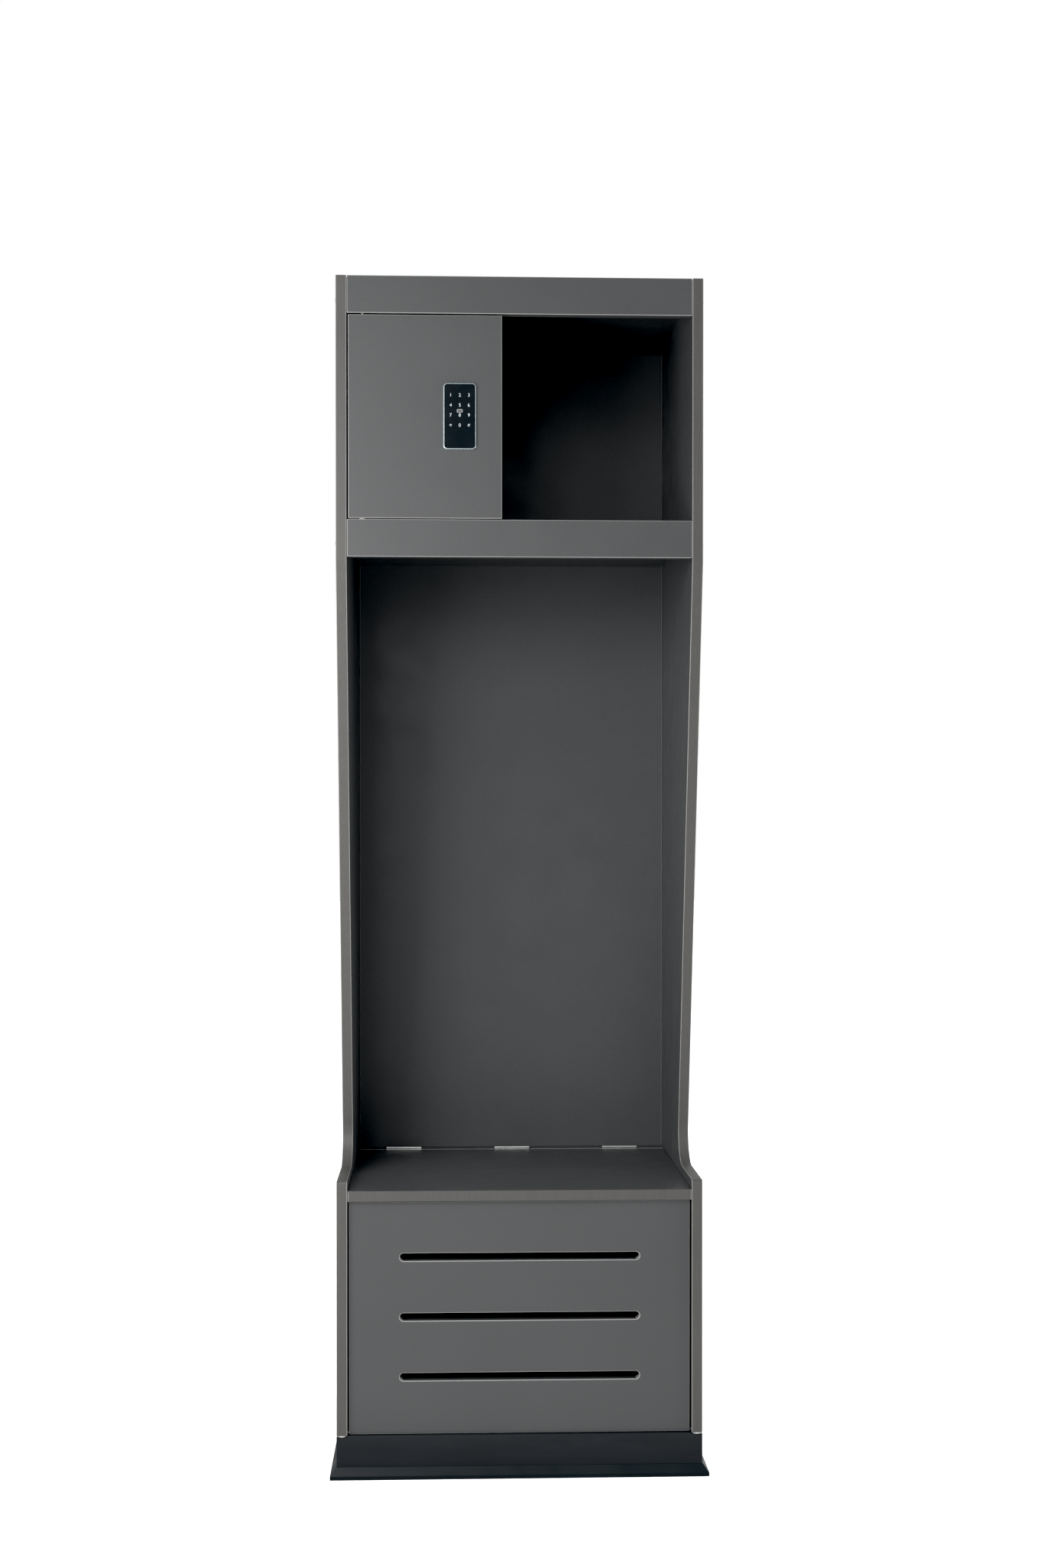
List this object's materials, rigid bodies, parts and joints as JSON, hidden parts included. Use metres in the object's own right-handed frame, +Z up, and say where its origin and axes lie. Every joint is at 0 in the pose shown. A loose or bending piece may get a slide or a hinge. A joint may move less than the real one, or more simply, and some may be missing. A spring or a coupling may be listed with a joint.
{
  "type": "gear locker",
  "caption": "Open-front gear locker with a keypad-locked upper cabinet, cubby, hanging bay and hinged seat lid over a vented foot compartment, on a black plinth.",
  "frame": {"origin": "on the floor, under the middle of the whole locker's width and depth", "axes": "+Z up, the height; +X to the right as seen from the front; +Y from the open front to the back"},
  "size_m": [0.631, 0.5106, 1.994],
  "materials": {
    "laminate": "charcoal melamine laminate, satin",
    "edge_band": "warm grey plastic edge band",
    "plinth": "black laminate, satin",
    "skirting": "black extruded plastic",
    "glide": "white nylon",
    "steel": "zinc plated steel",
    "hinge_steel": "nickel plated steel",
    "keypad_rim": "satin chrome",
    "keypad_glass": "polished dark panel",
    "badge": "satin chrome, blank",
    "lock_plastic": "black moulded plastic",
    "battery": "plain metal sleeve",
    "circuit": "green circuit laminate",
    "rubber": "soft pad",
    "cap": "moulded cap, satin"
  },
  "bodies": {
    "cabinet": {"side_panel_left": "laminate", "side_panel_right": "laminate", "side_edge_band_left": "edge_band", "side_edge_band_right": "edge_band", "back_panel": "laminate", "top_panel": "laminate", "cabinet_shelf": "laminate", "header_rail": "laminate", "middle_rail": "laminate", "cabinet_divider": "laminate", "seat_rear_rail": "laminate", "footlocker_floor": "laminate", "vent_panel": "laminate", "vent_battens": "laminate", "lid_cleats": "laminate", "rear_cleat": "laminate", "cleat_screws": "steel", "carcass_screws": "steel", "screw_caps": "cap", "plinth_front": "plinth", "plinth_rear": "plinth", "plinth_left": "plinth", "plinth_right": "plinth", "toe_skirting_front": "skirting", "toe_skirting_left": "skirting", "toe_skirting_right": "skirting", "base_glides": "glide", "base_brackets": "steel", "bracket_screws": "steel", "door_pivot_pins": "steel", "pivot_plate_screws": "steel", "door_washer": "glide", "hinge_leaves_rail": "hinge_steel", "hinge_pins": "hinge_steel", "rail_leaf_screws": "steel", "lock_keeper": "steel", "keeper_screws": "steel"},
    "cabinet_door": {"door_panel": "laminate", "door_pivot_bushes": "glide", "door_bumpers": "rubber", "keypad_rim": "keypad_rim", "keypad_glass": "keypad_glass", "keypad_badge": "badge", "keypad_connector": "lock_plastic", "lock_case": "lock_plastic", "battery_cover": "lock_plastic", "lock_case_screws": "steel", "lock_batteries": "battery", "lock_circuit_board": "circuit", "lock_gear_motor": "lock_plastic"},
    "lock_bolt": {"lock_bolt": "steel"},
    "seat_lid": {"seat_lid_panel": "laminate", "seat_lid_edge_band": "edge_band", "hinge_leaves_lid": "hinge_steel", "lid_leaf_screws": "steel", "lid_pads": "rubber"}
  },
  "joints": [
    {"name": "door_hinge", "type": "hinge", "parent": "cabinet", "child": "cabinet_door", "pos_m": [-0.2605, -0.23575, 1.7615], "axis": [0, 0, -1], "range_deg": [0, 105]},
    {"name": "seat_hinge", "type": "hinge", "parent": "cabinet", "child": "seat_lid", "pos_m": [0, 0.20025, 0.4813], "axis": [-1, 0, 0], "range_deg": [0, 94]},
    {"name": "bolt_slide", "type": "slide", "parent": "cabinet_door", "child": "lock_bolt", "axis": [1, 0, 0], "range_m": [0, 0.01]}
  ]
}
